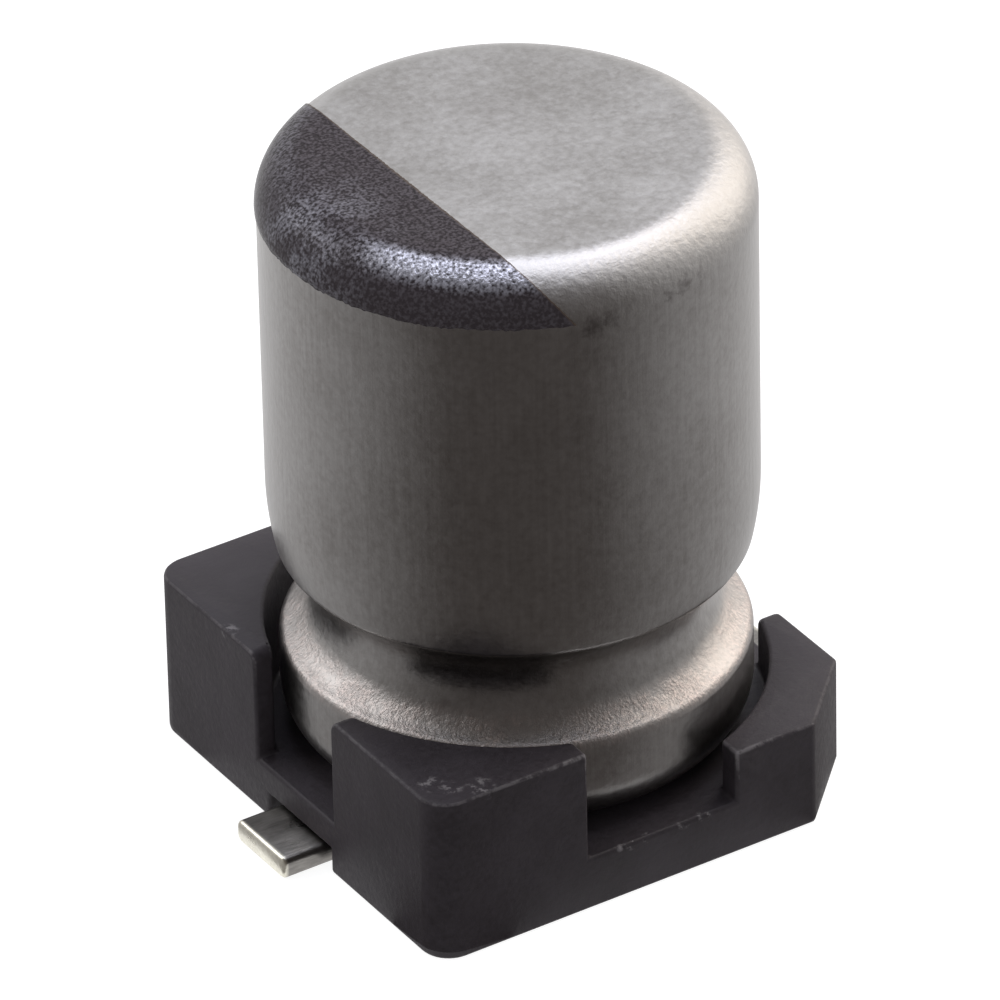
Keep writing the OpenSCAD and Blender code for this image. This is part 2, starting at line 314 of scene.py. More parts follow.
def makeInk():
    # column: angle A about the axis, from one end of the straight edge to the other; row: distance along
    # the can's section, from the straight edge to the ragged lower edge. On the flat the edge is
    # r = edgeX / cos A; on the rim it leans by edgeSlope, and its angle t there solves
    # cos A sin t - slope cos t = -rest
    sizes, can = inkSizes, canSizes
    edgeX, slope = sizes["edgeX"], sizes["edgeSlope"]
    rng = np.random.default_rng(seed)
    flat = can["radius"] - can["rimRadius"]
    rim = can["rimRadius"] + sizes["thick"]
    lastAngle = np.arccos((edgeX - slope * rim) / (flat + rim))
    angle = np.linspace(lastAngle, -lastAngle, sizes["around"])
    cosA = np.cos(angle)
    rest = (flat * cosA - edgeX + slope * rim) / rim
    lean = np.clip(-rest / np.hypot(cosA, slope), -1, 1)
    rimAngle = np.arctan2(slope, cosA) + np.arcsin(lean)
    start = np.where(edgeX <= flat * cosA, edgeX / cosA, flat + rim * rimAngle)
    around = angle * can["radius"]
    rag = sizes["ragged"] * sum(smoothRandom(around, wave, rng) for wave in sizes["raggedWaves"])
    start = start + sizes["edgeRagged"] * smoothRandom(around, sizes["edgeWave"], rng)
    end = np.maximum(flat + rim * np.pi / 2 - rag, start + sizes["leastWide"])
    run = start + (end - start) * np.linspace(0, 1, sizes["across"])[:, None]
    turn = np.clip((run - flat) / rim, 0, np.pi / 2)
    radius = np.where(run <= flat, run, flat + rim * np.sin(turn))
    height = can["top"] - can["rimRadius"] + rim * np.cos(turn) - np.maximum(run - flat - rim * np.pi / 2, 0)
    grid = np.stack([-radius * cosA, -radius * np.sin(angle), height], axis=-1)
    piece = meshFromGrid("polarityInk", grid, closed=False)
    storeShare(piece.data, "fromEdge", run - start)
    skin = piece.modifiers.new("Film", "SOLIDIFY")
    skin.thickness = sizes["thick"] * mm * sizes["filmShare"]
    skin.offset = -1
    return piece


# The moulded base

baseSizes = {
    "width": 4.3,
    "floor": 0.49,
    "tallPost": 1.5,
    "lowPost": 0.97,
    "cornerCut": 0.68,
    "cornerRound": 0.26,
    "recessRadius": 2.05,
    "endNotch": 1.14,
    "sideNotch": 1.42,
    "edgeRound": 0.035,
    "edgeDeg": 40,            # edges sharper than this are rounded
    "notchTopRound": 0.1,
    "notchTopFrom": 0.4,      # these roundings start this far from the axis
    "notchTopLap": 0.1,       # and their cutter laps over the notch by this
    "channelWidth": 0.93,
    "channelHeight": 0.23,
    "channelPast": 0.2,       # how far a channel runs inwards past the middle of its slot
    "slotWidth": 0.85,
    "slotThick": 0.32,
    "leadX": 0.7,
    "footShift": 0.06,
    "below": -1,              # where the cutters from under the base start
    "cornerSteps": 12,
    "recessSteps": 40,
    "slotSteps": 14,
    "notchTopSteps": 8,
    "edgeSteps": 3,
    "flatWeight": 100,        # the flat faces hold the shading straight up to their rounded edges
}


def prism(name, outline, low, high, across=2):
    # the outline carried straight along one axis (2: up, 0: along X) from low to high, with flat ends
    grid = np.empty((2, len(outline), 3))
    grid[..., np.delete(np.arange(3), across)] = outline
    grid[0, :, across], grid[1, :, across] = low, high
    return meshFromGrid(name, grid, startCap="flat", endCap="flat")


def rectangle(x0, x1, y0, y1):
    # its four corners, anticlockwise
    return np.array([[x0, y0], [x1, y0], [x1, y1], [x0, y1]])


def seatOutline(far):
    # the can's round seat joined with the four notches: a quarter arc between each two notch sides
    sizes = baseSizes
    radius = sizes["recessRadius"]
    points = []
    for quarter in range(4):
        near = (sizes["endNotch"], sizes["sideNotch"])[quarter % 2] / 2
        beyond = (sizes["sideNotch"], sizes["endNotch"])[quarter % 2] / 2
        start = np.degrees(np.arcsin(near / radius))
        end = 90 - np.degrees(np.arcsin(beyond / radius))
        arc = arcPoints((0, 0), radius, start, end, sizes["recessSteps"])
        turn = np.radians(90 * quarter)
        turned = np.array([[np.cos(turn), np.sin(turn)], [-np.sin(turn), np.cos(turn)]])
        points.append(np.vstack([[far, near], arc, [beyond, far]]) @ turned)
    return np.vstack(points)


def flaredNotch(near, far, top):
    # rounds the top corners of two posts beside their end notch: an outline in (y, z) carried along X
    sizes = baseSizes
    side, r = sizes["endNotch"] / 2, sizes["notchTopRound"]
    right = np.vstack([[side - sizes["notchTopLap"], top - r],
                       arcPoints((side + r, top - r), r, 180, 90, sizes["notchTopSteps"]),
                       [side + r, 2 * sizes["tallPost"]]])
    return prism("cutFlare", np.vstack([right, right[::-1] * (-1, 1)]), near, far, across=0)


def cut(piece, cutter):
    # takes the cutter's volume away from the piece
    tool = piece.modifiers.new("Cut", "BOOLEAN")
    tool.operation = "DIFFERENCE"
    tool.solver = "EXACT"
    tool.object = cutter


def applyModifiers(piece):
    # the evaluated mesh takes the place of the piece's own
    bpy.context.view_layer.update()
    evaluated = piece.evaluated_get(bpy.context.evaluated_depsgraph_get())
    mesh = bpy.data.meshes.new_from_object(evaluated)
    piece.modifiers.clear()
    piece.data = mesh


def storeWear(mesh):
    # how far a vertex's edges fall away from its normal: 0 on a flat face, about 0.3 on a rounded edge
    count = len(mesh.vertices)
    places = np.zeros(count * 3)
    mesh.vertices.foreach_get("co", places)
    places = places.reshape(-1, 3)
    normals = np.zeros(count * 3)
    mesh.vertex_normals.foreach_get("vector", normals)
    normals = normals.reshape(-1, 3)
    ends = np.zeros(len(mesh.edges) * 2, dtype=int)
    mesh.edges.foreach_get("vertices", ends)
    ends = ends.reshape(-1, 2)
    total, used = np.zeros(count), np.zeros(count)
    for a, b in ((0, 1), (1, 0)):
        line = places[ends[:, b]] - places[ends[:, a]]
        line /= np.maximum(np.linalg.norm(line, axis=1, keepdims=True), 1e-12)
        fall = -(line * normals[ends[:, a]]).sum(axis=1)
        np.add.at(total, ends[:, a], fall)
        np.add.at(used, ends[:, a], 1)
    storeShare(mesh, "wear", total / np.maximum(used, 1))


def makeBase():
    # a block with two round and two cut corners, less the low half's step, the seat with its notches, the
    # flared notch tops, the two channels and the two lead slots, and then every edge rounded
    sizes = baseSizes
    half = sizes["width"] / 2
    inner = half - sizes["cornerRound"]
    chamfer = half - sizes["cornerCut"]
    outline = np.vstack([
        arcPoints((-inner, -inner), sizes["cornerRound"], -180, -90, sizes["cornerSteps"]),
        [[chamfer, -half], [half, -chamfer], [half, chamfer], [chamfer, half]],
        arcPoints((-inner, inner), sizes["cornerRound"], 90, 180, sizes["cornerSteps"]),
    ])
    base = prism("basePlate", outline, 0, sizes["tallPost"])
    far, above = 2 * half, 3 * sizes["tallPost"]
    slotEnd = (sizes["slotWidth"] - sizes["slotThick"]) / 2
    slotRadius = sizes["slotThick"] / 2
    cutters = [
        prism("cutStep", rectangle(0, far, -far, far), sizes["lowPost"], above),
        prism("cutSeat", seatOutline(far), sizes["floor"], above),
        flaredNotch(-far, -sizes["notchTopFrom"], sizes["tallPost"]),
        flaredNotch(sizes["notchTopFrom"], far, sizes["lowPost"]),
    ]
    for side in (-1, 1):
        x, y = side * sizes["leadX"], side * sizes["footShift"]
        ends = sorted([side * (sizes["leadX"] - sizes["channelPast"]), side * far])
        channel = rectangle(*ends, y - sizes["channelWidth"] / 2, y + sizes["channelWidth"] / 2)
        cutters.append(prism("cutChannel", channel, sizes["below"], sizes["channelHeight"]))
        slot = np.vstack([arcPoints((x, y - slotEnd), slotRadius, 180, 360, sizes["slotSteps"]),
                          arcPoints((x, y + slotEnd), slotRadius, 0, 180, sizes["slotSteps"])])
        cutters.append(prism("cutSlot", slot, sizes["below"], above))
    for cutter in cutters:
        cut(base, cutter)
    rounding = base.modifiers.new("Edges", "BEVEL")
    rounding.width = sizes["edgeRound"] * mm
    rounding.segments = sizes["edgeSteps"]
    rounding.limit_method = "ANGLE"
    rounding.angle_limit = np.radians(sizes["edgeDeg"])
    rounding.use_clamp_overlap = False
    base.data.shade_smooth()
    base.modifiers.new("Normals", "WEIGHTED_NORMAL").weight = sizes["flatWeight"]
    applyModifiers(base)
    for cutter in cutters:
        bpy.data.objects.remove(cutter)
    storeWear(base.data)
    return base


# The tinned leads

leadSizes = {
    "pitch": 1.4,
    "wire": 0.45,
    "footWidth": 0.73,
    "footThick": 0.2,
    "span": 5.06,
    "shift": 0.06,
    "bend": 0.1,
    "edgeRound": 0.06,
    "tipRound": 0.035,
    "coinZ": 0.51,            # the flattened lead turns back to round wire between these two heights
    "wireZ": 0.7,
    "wireTop": 0.9,
    "cornerSteps": 9,
    "tipSteps": 5,
    "bendSteps": 13,
    "wireSteps": 9,
    "sharpDeg": 50,
}


def leadSection(width, thick, edge):
    # a rectangle with round corners, as (across, through) points; a circle when edge is half of both
    corners = [(1, 1, 0), (-1, 1, 90), (-1, -1, 180), (1, -1, 270)]
    across, through, steps = width / 2 - edge, thick / 2 - edge, leadSizes["cornerSteps"]
    return np.vstack([arcPoints((sx * across, sy * through), edge, turn, turn + 90, steps)
                      for sx, sy, turn in corners])


def makeLead(name, side):
    # sections carried along the foot, round the bend and up the wire: across is Y, and through is the
    # normal on the path's left
    sizes = leadSizes
    width, thick, tipRound = sizes["footWidth"], sizes["footThick"], sizes["tipRound"]
    leadX = sizes["pitch"] / 2
    bendRadius = sizes["bend"] + thick / 2
    centre = (leadX + bendRadius, thick + sizes["bend"])
    flat = leadSection(width, thick, sizes["edgeRound"])
    wire = leadSection(sizes["wire"], sizes["wire"], sizes["wire"] / 2)
    places, sections = [], []
    for turn in np.radians(np.linspace(0, 90, sizes["tipSteps"])):
        places.append((sizes["span"] / 2 - tipRound * (1 - np.cos(turn)), thick / 2, 180))
        sections.append(flat * (1 - 2 * tipRound * (1 - np.sin(turn)) / np.array([width, thick])))
    for turnDeg in np.linspace(-90, -180, sizes["bendSteps"]):
        turn = np.radians(turnDeg)
        x, z = centre[0] + bendRadius * np.cos(turn), centre[1] + bendRadius * np.sin(turn)
        places.append((x, z, turnDeg - 90))
        sections.append(flat)
    shifts = [sizes["shift"]] * len(places)
    for part in np.linspace(0, 1, sizes["wireSteps"]):
        ease = part * part * (3 - 2 * part)
        places.append((leadX, sizes["coinZ"] + (sizes["wireZ"] - sizes["coinZ"]) * part, 90))
        sections.append(flat * (1 - ease) + wire * ease)
        shifts.append(sizes["shift"] * (1 - part))
    places.append((leadX, sizes["wireTop"], 90))
    sections.append(wire)
    shifts.append(0)
    place, section, shift = np.array(places), np.array(sections), np.array(shifts)
    turn = np.radians(place[:, 2] + 90)[:, None]
    grid = np.empty(section.shape[:2] + (3,))
    grid[..., 0] = side * (place[:, :1] + section[..., 1] * np.cos(turn))
    grid[..., 1] = side * (shift[:, None] + section[..., 0])
    grid[..., 2] = place[:, 1:2] + section[..., 1] * np.sin(turn)
    return meshFromGrid(name, grid, startCap="flat", endCap="flat")


# Materials. In each dictionary a pattern is the width of a blotch in mm, detail, roughness and shift, and a
# range is what Map Range takes: from low, from high and, where they aren't 0 and 1, to low and to high.

canLook = {
    "light": "#a3a1a0",
    "dark": "#8a8785",
    # the rim's lighter colour: a painted highlight
    "paintedRimHighlight": "#cbc9c8",
    "smudge": "#3a3130",
    # the scuffed band's colour: real scratches, and partly a painted highlight across the band
    "scuff": "#c2b6b2",
    # draw lines are about 0.01 mm wide and the sheet's grain about 0.03 mm: too fine to show, so coarser here
    "streaks": (0.035, 2, 0.55, 0),
    "streakStretch": (1, 1, 0.03),
    "grain": (0.07, 3, 0.6, 5),
    "cloud": (0.9, 3, 0.5, 11),
    "toneWeights": (0.2, 0.42, 0.4),   # of streaks, grain and cloud
    "toneRange": (0.36, 0.64),
    # ink smeared off the mark: x, y, z and reach of each
    "smudges": [(-0.45, -1.95, 5.33, 0.1), (-0.30, -1.98, 5.36, 0.07), (0.24, -1.985, 5.40, 0.05),
                (0.40, -1.96, 5.415, 0.07), (0.55, -1.92, 5.43, 0.05)],
    "smudgeRagged": 0.22,
    "smudgeFade": (0.13, 0.3, 0.09),    # gone at reach + first, full at reach * second + third
    "smudgeDepth": 0.52,
    "ridgeUp": 0.06,                   # the scuffed band's middle lies this far above the ridge
    "ridgeRange": (0.15, 0.06),
    "scratches": (0.028, 2, 0.6, 17),
    "scratchStretch": (1, 1, 0.6),
    "scratchRange": (0.4, 0.66, 0.3, 1),
    "rub": (0.3, 2, 0.5, 23),
    "rubRange": (0.38, 0.62, 0.4, 1),
    "scuffDepth": 0.8,
    "rimLow": (5.3, 5.5),
    "rimHigh": (5.80, 5.77),
    "rimHighlightDepth": 0.22,
    "roughRange": (0.7, 1.3, 0.29, 0.38),
    "rimRougher": 0.14,
    "ridgeRougher": 0.16,
    "streakBumpMm": 0.001,
    "grainBumpMm": 0.0035,
    "scratchBumpMm": 0.008,
}


def drawnAluminium():
    # Aluminium can, deep drawn: satin metal with fine streaks up the wall and a soft grain on the top
    look = canLook
    material, tree = newMaterial("drawnAluminium")
    plain = objectPattern(tree)
    streaks = blotches(tree, objectPattern(tree, look["streakStretch"]), *look["streaks"])
    grain = blotches(tree, plain, *look["grain"])
    cloud = blotches(tree, plain, *look["cloud"])
    tone = weightedSum(tree, *zip((streaks, grain, cloud), look["toneWeights"]))
    tone = addNode(tree, "MapRange", [tone, *look["toneRange"]])
    colour = addNode(tree, "Mix", {0: tone, 6: look["dark"], 7: look["light"]}, 2, data_type="RGBA")
    fadeFar, fadeShare, fadeNear = look["smudgeFade"]
    for x, y, z, reach in look["smudges"]:
        gap = addNode(tree, "VectorMath", [plain, (x, y, z)], "Value", operation="DISTANCE")
        ragged = weightedSum(tree, (gap, 1), (grain, look["smudgeRagged"]))
        smudge = addNode(tree, "MapRange", [ragged, reach + fadeFar, reach * fadeShare + fadeNear,
                                            0, look["smudgeDepth"]])
        colour = addNode(tree, "Mix", {0: smudge, 6: colour, 7: look["smudge"]}, 2, data_type="RGBA")
    height = addNode(tree, "SeparateXYZ", [plain], "Z")
    ridge = addNode(tree, "Math", [height, canSizes["ridgeZ"] + look["ridgeUp"]], operation="SUBTRACT")
    ridge = addNode(tree, "Math", [ridge], operation="ABSOLUTE")
    ridge = addNode(tree, "MapRange", [ridge, *look["ridgeRange"]])
    scratches = blotches(tree, objectPattern(tree, look["scratchStretch"]), *look["scratches"])
    rub = addNode(tree, "MapRange", [blotches(tree, plain, *look["rub"]), *look["rubRange"]])
    ridge = addNode(tree, "Math", [ridge, rub], operation="MULTIPLY")
    scuff = addNode(tree, "MapRange", [scratches, *look["scratchRange"]])
    scuff = addNode(tree, "Math", [ridge, scuff], operation="MULTIPLY")
    scuff = addNode(tree, "Math", [scuff, look["scuffDepth"]], operation="MULTIPLY")
    # the band is lighter than the can: the scratches are real, and the lighter colour across the band is also
    # a painted highlight
    colour = addNode(tree, "Mix", {0: scuff, 6: colour, 7: look["scuff"]}, 2, data_type="RGBA")
    # the drawn rim is rougher and keeps the coarse grain of the blank, so its highlight is wide and mottled;
    # its colour is also lightened, a painted highlight
    rimLow = addNode(tree, "MapRange", [height, *look["rimLow"]])
    rimHigh = addNode(tree, "MapRange", [height, *look["rimHigh"]])
    rim = addNode(tree, "Math", [rimLow, rimHigh], operation="MULTIPLY")
    paintedRimHighlight = addNode(tree, "Math", [rim, look["rimHighlightDepth"]], operation="MULTIPLY")
    colour = addNode(tree, "Mix", {0: paintedRimHighlight, 6: colour, 7: look["paintedRimHighlight"]}, 2, data_type="RGBA")
    rough = addNode(tree, "MapRange", [weightedSum(tree, (grain, 1), (cloud, 1)), *look["roughRange"]])
    rough = weightedSum(tree, (rough, 1), (rim, look["rimRougher"]), (ridge, look["ridgeRougher"]))
    coarser = addNode(tree, "Math", [1, rim], operation="ADD")
    grainHeight = addNode(tree, "Math", [grain, coarser], operation="MULTIPLY")
    scratchHeight = addNode(tree, "Math", [scratches, ridge], operation="MULTIPLY")
    normal = addNode(tree, "Bump", {"Height": streaks, "Distance": look["streakBumpMm"] * mm})
    normal = addNode(tree, "Bump",
                     {"Height": grainHeight, "Distance": look["grainBumpMm"] * mm, "Normal": normal})
    normal = addNode(tree, "Bump",
                     {"Height": scratchHeight, "Distance": look["scratchBumpMm"] * mm, "Normal": normal})
    finishMaterial(tree, {"Metallic": 1, "Base Color": colour, "Roughness": rough, "Normal": normal})
    return material


inkLook = {
    "film": "#242022",
    "thin": "#423c3f",
    "fleck": "#dfe0ec",
    "fringe": "#564a40",
    "flecks": (0.03, 1, 0.6, 0),
    "fleckRange": (0.38, 0.64),
    "patches": (0.3, 3, 0.5, 7),
    "evenRange": (5.58, 5.72, 0.3, 1),
    "mottleShift": 0.64,
    # the print thins where it turns over the rim: heights, and a place with its reach; the lower height and
    # the place put the shiny grains where the lamp's highlight falls, a painted highlight
    "flatZ": (5.812, 5.79),
    "highlightLowZ": (5.63, 5.73),
    "highlightSpot": (-1.08, -1.36, 5.75),
    "highlightSpotRange": (1.2, 0.7, 0.15, 1),
    # a fainter rubbed patch on the left side
    "chafed": (-1.86, 0.05, 5.52),
    "chafedRange": (0.9, 0.2),
    "chafedPatches": (0.36, 0.56, 0.08, 0.42),
    "levelWeights": (1, 0.15, 0.2),    # of flecks, patches and thinness
    "levelRange": (0.5, 0.98),
    "barest": (0, 1, 0.05, 0.63),
    "fringeRange": (0.028, 0, 0, 0.9),
    "roughRange": (0.3, 0.7, 0.24, 0.32),
    "bumpMm": 0.007,
    "specular": 0.05,
}


def printedInk():
    # Pad-printed black ink on rough aluminium: a dull film that shiny grains of metal break through, gathered
    # on the rim into a painted highlight
    look = inkLook
    material, tree = newMaterial("printedInk")
    plain = objectPattern(tree)
    flecks = blotches(tree, plain, *look["flecks"])
    patches = blotches(tree, plain, *look["patches"])
    height = addNode(tree, "SeparateXYZ", [plain], "Z")
    # low on the rim the film is thick and even, and higher up the grains stand out from it
    even = addNode(tree, "MapRange", [height, *look["evenRange"]])
    mottle = addNode(tree, "MapRange", [flecks, *look["fleckRange"]])
    mottle = addNode(tree, "Math", [mottle, 0.5], operation="SUBTRACT")
    mottle = addNode(tree, "Math", [mottle, even], operation="MULTIPLY")
    mottle = addNode(tree, "Math", [mottle, look["mottleShift"]], operation="ADD")
    colour = addNode(tree, "Mix", {0: mottle, 6: look["film"], 7: look["thin"]}, 2, data_type="RGBA")
    # the grains are strongest in a band and a spot laid on the lamp's highlight: partly the print thinning
    # over the rim, partly a painted highlight
    thin = addNode(tree, "MapRange", [height, *look["flatZ"]])
    thin = addNode(tree, "Math", [thin, addNode(tree, "MapRange", [height, *look["highlightLowZ"]])],
                   operation="MULTIPLY")
    highlightSpot = addNode(tree, "VectorMath", [plain, look["highlightSpot"]], "Value", operation="DISTANCE")
    highlightSpot = addNode(tree, "MapRange", [highlightSpot, *look["highlightSpotRange"]])
    thin = addNode(tree, "Math", [thin, highlightSpot], operation="MULTIPLY")
    chafed = addNode(tree, "VectorMath", [plain, look["chafed"]], "Value", operation="DISTANCE")
    chafed = addNode(tree, "MapRange", [chafed, *look["chafedRange"]])
    worn = addNode(tree, "MapRange", [patches, *look["chafedPatches"]])
    chafed = addNode(tree, "Math", [chafed, worn], operation="MULTIPLY")
    thin = addNode(tree, "Math", [thin, chafed], operation="MAXIMUM")
    level = weightedSum(tree, *zip((flecks, patches, thin), look["levelWeights"]))
    level = addNode(tree, "MapRange", [level, *look["levelRange"]])
    bare = addNode(tree, "MapRange", [thin, *look["barest"]])
    fleck = addNode(tree, "Math", [level, bare], operation="MULTIPLY")
    colour = addNode(tree, "Mix", {0: fleck, 6: colour, 7: look["fleck"]}, 2, data_type="RGBA")
    fringe = addNode(tree, "Attribute", output="Fac", attribute_name="fromEdge")
    fringe = addNode(tree, "MapRange", [fringe, *look["fringeRange"]])
    colour = addNode(tree, "Mix", {0: fringe, 6: colour, 7: look["fringe"]}, 2, data_type="RGBA")
    rough = addNode(tree, "MapRange", [patches, *look["roughRange"]])
    relief = addNode(tree, "Math", [flecks, even], operation="MULTIPLY")
    normal = addNode(tree, "Bump", {"Height": relief, "Distance": look["bumpMm"] * mm})
    finishMaterial(tree, {"Specular IOR Level": look["specular"], "Base Color": colour, "Metallic": fleck,
                          "Roughness": rough, "Normal": normal})
    return material


plasticLook = {
    "body": "#2c272b",
    "bodyLight": "#383338",
    "worn": "#8e8a8c",
    "grain": (0.05, 3, 0.6, 0),
    "cloud": (0.7, 3, 0.55, 3),
    "rub": (0.075, 3, 0.65, 9),
    "patches": (0.45, 2, 0.5, 21),
    "waves": (0.22, 2, 0.5, 13),
    "toneRange": (0.75, 1.25),
    "wearRange": (0.12, 0.3),          # of the edge measure that storeWear keeps
    # scuffs on the post tops and along a sill: x, y, z and reach of each
    "scuffs": [(-1.97, -1.80, 1.5, 0.13), (-1.86, -1.93, 1.5, 0.11), (-1.66, -2.04, 1.5, 0.14),
               (-2.12, 1.00, 1.5, 0.1),
               (-0.58, -2.15, 0.49, 0.05), (-0.41, -2.15, 0.49, 0.05), (-0.3, -2.15, 0.49, 0.08),
               (-0.14, -2.15, 0.49, 0.07), (0.2, -2.15, 0.49, 0.07), (0.4, -2.15, 0.49, 0.08)],
    "scuffCore": 0.5,                  # share of its reach that is fully worn
    "scuffDepth": 0.55,
    "scuffRange": (0.48, 0.6),
    "patchWeight": 0.6,
    "maskRange": (0.7, 0.88),
    "roughRange": (0.3, 0.7, 0.5, 0.66),
    "grainBumpMm": 0.004,
    "waveBumpMm": 0.007,
    "ior": 1.5,
    "specular": 0.3,
}


def mouldedPlastic():
    # Black heat-proof nylon, moulded: a dull fine grain, with pale specks where the edges have rubbed
    look = plasticLook
    material, tree = newMaterial("mouldedPlastic")
    plain = objectPattern(tree)
    grain = blotches(tree, plain, *look["grain"])
    cloud = blotches(tree, plain, *look["cloud"])
    rub = blotches(tree, plain, *look["rub"])
    tone = addNode(tree, "MapRange", [weightedSum(tree, (grain, 1), (cloud, 1)), *look["toneRange"]])
    colour = addNode(tree, "Mix", {0: tone, 6: look["body"], 7: look["bodyLight"]}, 2, data_type="RGBA")
    wear = addNode(tree, "Attribute", output="Fac", attribute_name="wear")
    wear = addNode(tree, "MapRange", [wear, *look["wearRange"]])
    patches = blotches(tree, plain, *look["patches"])
    for x, y, z, reach in look["scuffs"]:
        gap = addNode(tree, "VectorMath", [plain, (x, y, z)], "Value", operation="DISTANCE")
        near = addNode(tree, "MapRange", [gap, reach, reach * look["scuffCore"], 0, look["scuffDepth"]])
        specks = addNode(tree, "MapRange", [rub, *look["scuffRange"]])
        scuff = addNode(tree, "Math", [near, specks], operation="MULTIPLY")
        wear = addNode(tree, "Math", [wear, scuff], operation="MAXIMUM")
    mask = weightedSum(tree, (rub, 1), (patches, look["patchWeight"]))
    mask = addNode(tree, "MapRange", [mask, *look["maskRange"]])
    mask = addNode(tree, "Math", [wear, mask], operation="MULTIPLY")
    colour = addNode(tree, "Mix", {0: mask, 6: colour, 7: look["worn"]}, 2, data_type="RGBA")
    rough = addNode(tree, "MapRange", [grain, *look["roughRange"]])
    waves = blotches(tree, plain, *look["waves"])
    normal = addNode(tree, "Bump", {"Height": grain, "Distance": look["grainBumpMm"] * mm})
    normal = addNode(tree, "Bump", {"Height": waves, "Distance": look["waveBumpMm"] * mm, "Normal": normal})
    finishMaterial(tree, {"IOR": look["ior"], "Specular IOR Level": look["specular"],
                          "Base Color": colour, "Roughness": rough, "Normal": normal})
    return material


tinLook = {
    # two copies of one tin colour: the darker one, used everywhere but the end, is painted shade for the
    # foot's top; the lighter one is painted light for the end face
    "dull": ("#75726f", "#989591"),
    "paintedLitTone": ("#d6d2c4", "#f4f1e4"),
    "marks": (0.03, 3, 0.6, 0),        # rolling marks, a few times wider than real ones, which wouldn't show
    "marksStretch": (0.2, 1, 1),
    "cloud": (0.25, 3, 0.5, 4),
    "toneRange": (0.7, 1.3),
    "litTipMm": (0.05, 0.015),            # the lead's end takes the lit tone between these distances from it, painted light for the light on the end face
    "roughRange": (0.3, 0.7, 0.26, 0.36),
    "bumpMm": 0.0025,
}


def tinPlate():
    # Matt tin plate on the flattened lead: a darker grey with rolling marks, and a much lighter tone at its
    # end; the two are shaded and lit copies of one tin, painted shade on the foot's top and painted light on
    # the end face
    look = tinLook
    material, tree = newMaterial("tinPlate")
    plain = objectPattern(tree)
    marks = blotches(tree, objectPattern(tree, look["marksStretch"]), *look["marks"])
    cloud = blotches(tree, plain, *look["cloud"])
    tone = addNode(tree, "MapRange", [weightedSum(tree, (marks, 1), (cloud, 1)), *look["toneRange"]])
    # the end face takes the lit copy: painted light
    reach = addNode(tree, "Math", [addNode(tree, "SeparateXYZ", [plain], "X")], operation="ABSOLUTE")
    litTip = addNode(tree, "MapRange", [reach, *[leadSizes["span"] / 2 - gap for gap in look["litTipMm"]]])
    dull, paintedLitTone = [addNode(tree, "Mix", {0: tone, 6: low, 7: high}, 2, data_type="RGBA")
                    for low, high in (look["dull"], look["paintedLitTone"])]
    colour = addNode(tree, "Mix", {0: litTip, 6: dull, 7: paintedLitTone}, 2, data_type="RGBA")
    rough = addNode(tree, "MapRange", [cloud, *look["roughRange"]])
    normal = addNode(tree, "Bump", {"Height": marks, "Distance": look["bumpMm"] * mm})
    finishMaterial(tree, {"Metallic": 1, "Base Color": colour, "Roughness": rough, "Normal": normal})
    return material


# Material, low tone, high tone, blotch width, roughness, metallic and stretch of each piece in the can
insideLooks = {
    # cured rubber, dull and nearly black
    "sealing_bung": ("bungRubber", "#1b1a1a", "#262424", 0.06, 0.7, 0, (1, 1, 1)),
    # etched foil, matt grey from its pores
    "anode_foil": ("etchedFoil", "#8d8e90", "#a4a5a7", 0.02, 0.6, 1, (1, 1, 1)),
    # plain rolled foil, brighter and streaked
    "cathode_foil": ("plainFoil", "#b8babd", "#cfd1d4", 0.05, 0.35, 1, (1, 1, 0.2)),
    # long-fibred paper, soaked to a warm buff
    "inner_paper": ("separatorPaper", "#c9b48c", "#d9c8a5", 0.04, 0.85, 0, (1, 1, 0.4)),
    "outer_paper": ("separatorPaperOuter", "#c9b48c", "#d9c8a5", 0.04, 0.85, 0, (1, 1, 0.4)),
    # polyester film tape, amber and glossy
    "closing_tape": ("polyesterTape", "#b98f3c", "#c9a253", 0.3, 0.3, 0, (1, 1, 1)),
    # pressed aluminium, satin with marks along its length
    "anode_tab": ("tabAluminium", "#a6a8ab", "#c2c4c7", 0.04, 0.4, 1, (1, 1, 0.1)),
    "cathode_tab": ("tabAluminiumToo", "#a6a8ab", "#c2c4c7", 0.04, 0.4, 1, (1, 1, 0.1)),
}
insidePattern = (3, 0.6, 0)        # detail, roughness and shift
insideRange = (0.35, 0.65)
insideBumpMm = 0.003


def dressInside():
    # two tones on one noise, with a matching bump
    for node, (name, low, high, wide, roughness, metallic, stretch) in insideLooks.items():
        material, tree = newMaterial(name)
        pattern = blotches(tree, objectPattern(tree, stretch), wide, *insidePattern)
        tone = addNode(tree, "MapRange", [pattern, *insideRange])
        colour = addNode(tree, "Mix", {0: tone, 6: low, 7: high}, 2, data_type="RGBA")
        normal = addNode(tree, "Bump", {"Height": pattern, "Distance": insideBumpMm * mm})
        finishMaterial(tree, {"Metallic": metallic, "Roughness": roughness, "Base Color": colour,
                              "Normal": normal})
        cadNodes[node].material_slots[0].material = material


# Stage, light and camera

stageSizes = {
    "floor": 400,
    "floorColour": "#d8d8d8",      # as the object's own light sees it
    "shownColour": "#8f8f8f",      # as the camera sees it, under the glow that takes it to white
    "shownGlow": 0.9,
    "skySoft": 0.5,
    "skyShown": 1,
    "cardInner": 2.6,
    "cardOuter": 22,
    "cardFoot": 0.03,
    "cardHeight": 100,
    "cardSweepDeg": 160,
    "cardLow": (-30, 28, 162),     # middle, full and half angles near the floor
    "cardHigh": (-39, 57, 76),     # and above
    "cardTurnDeg": (12, 14),       # where they start to change, and over how much of the section
    "cardFadeDeg": 15,
    "cardSteps": (31, 120),        # up the section and round the arc
    "cardColour": "#66615f",
}


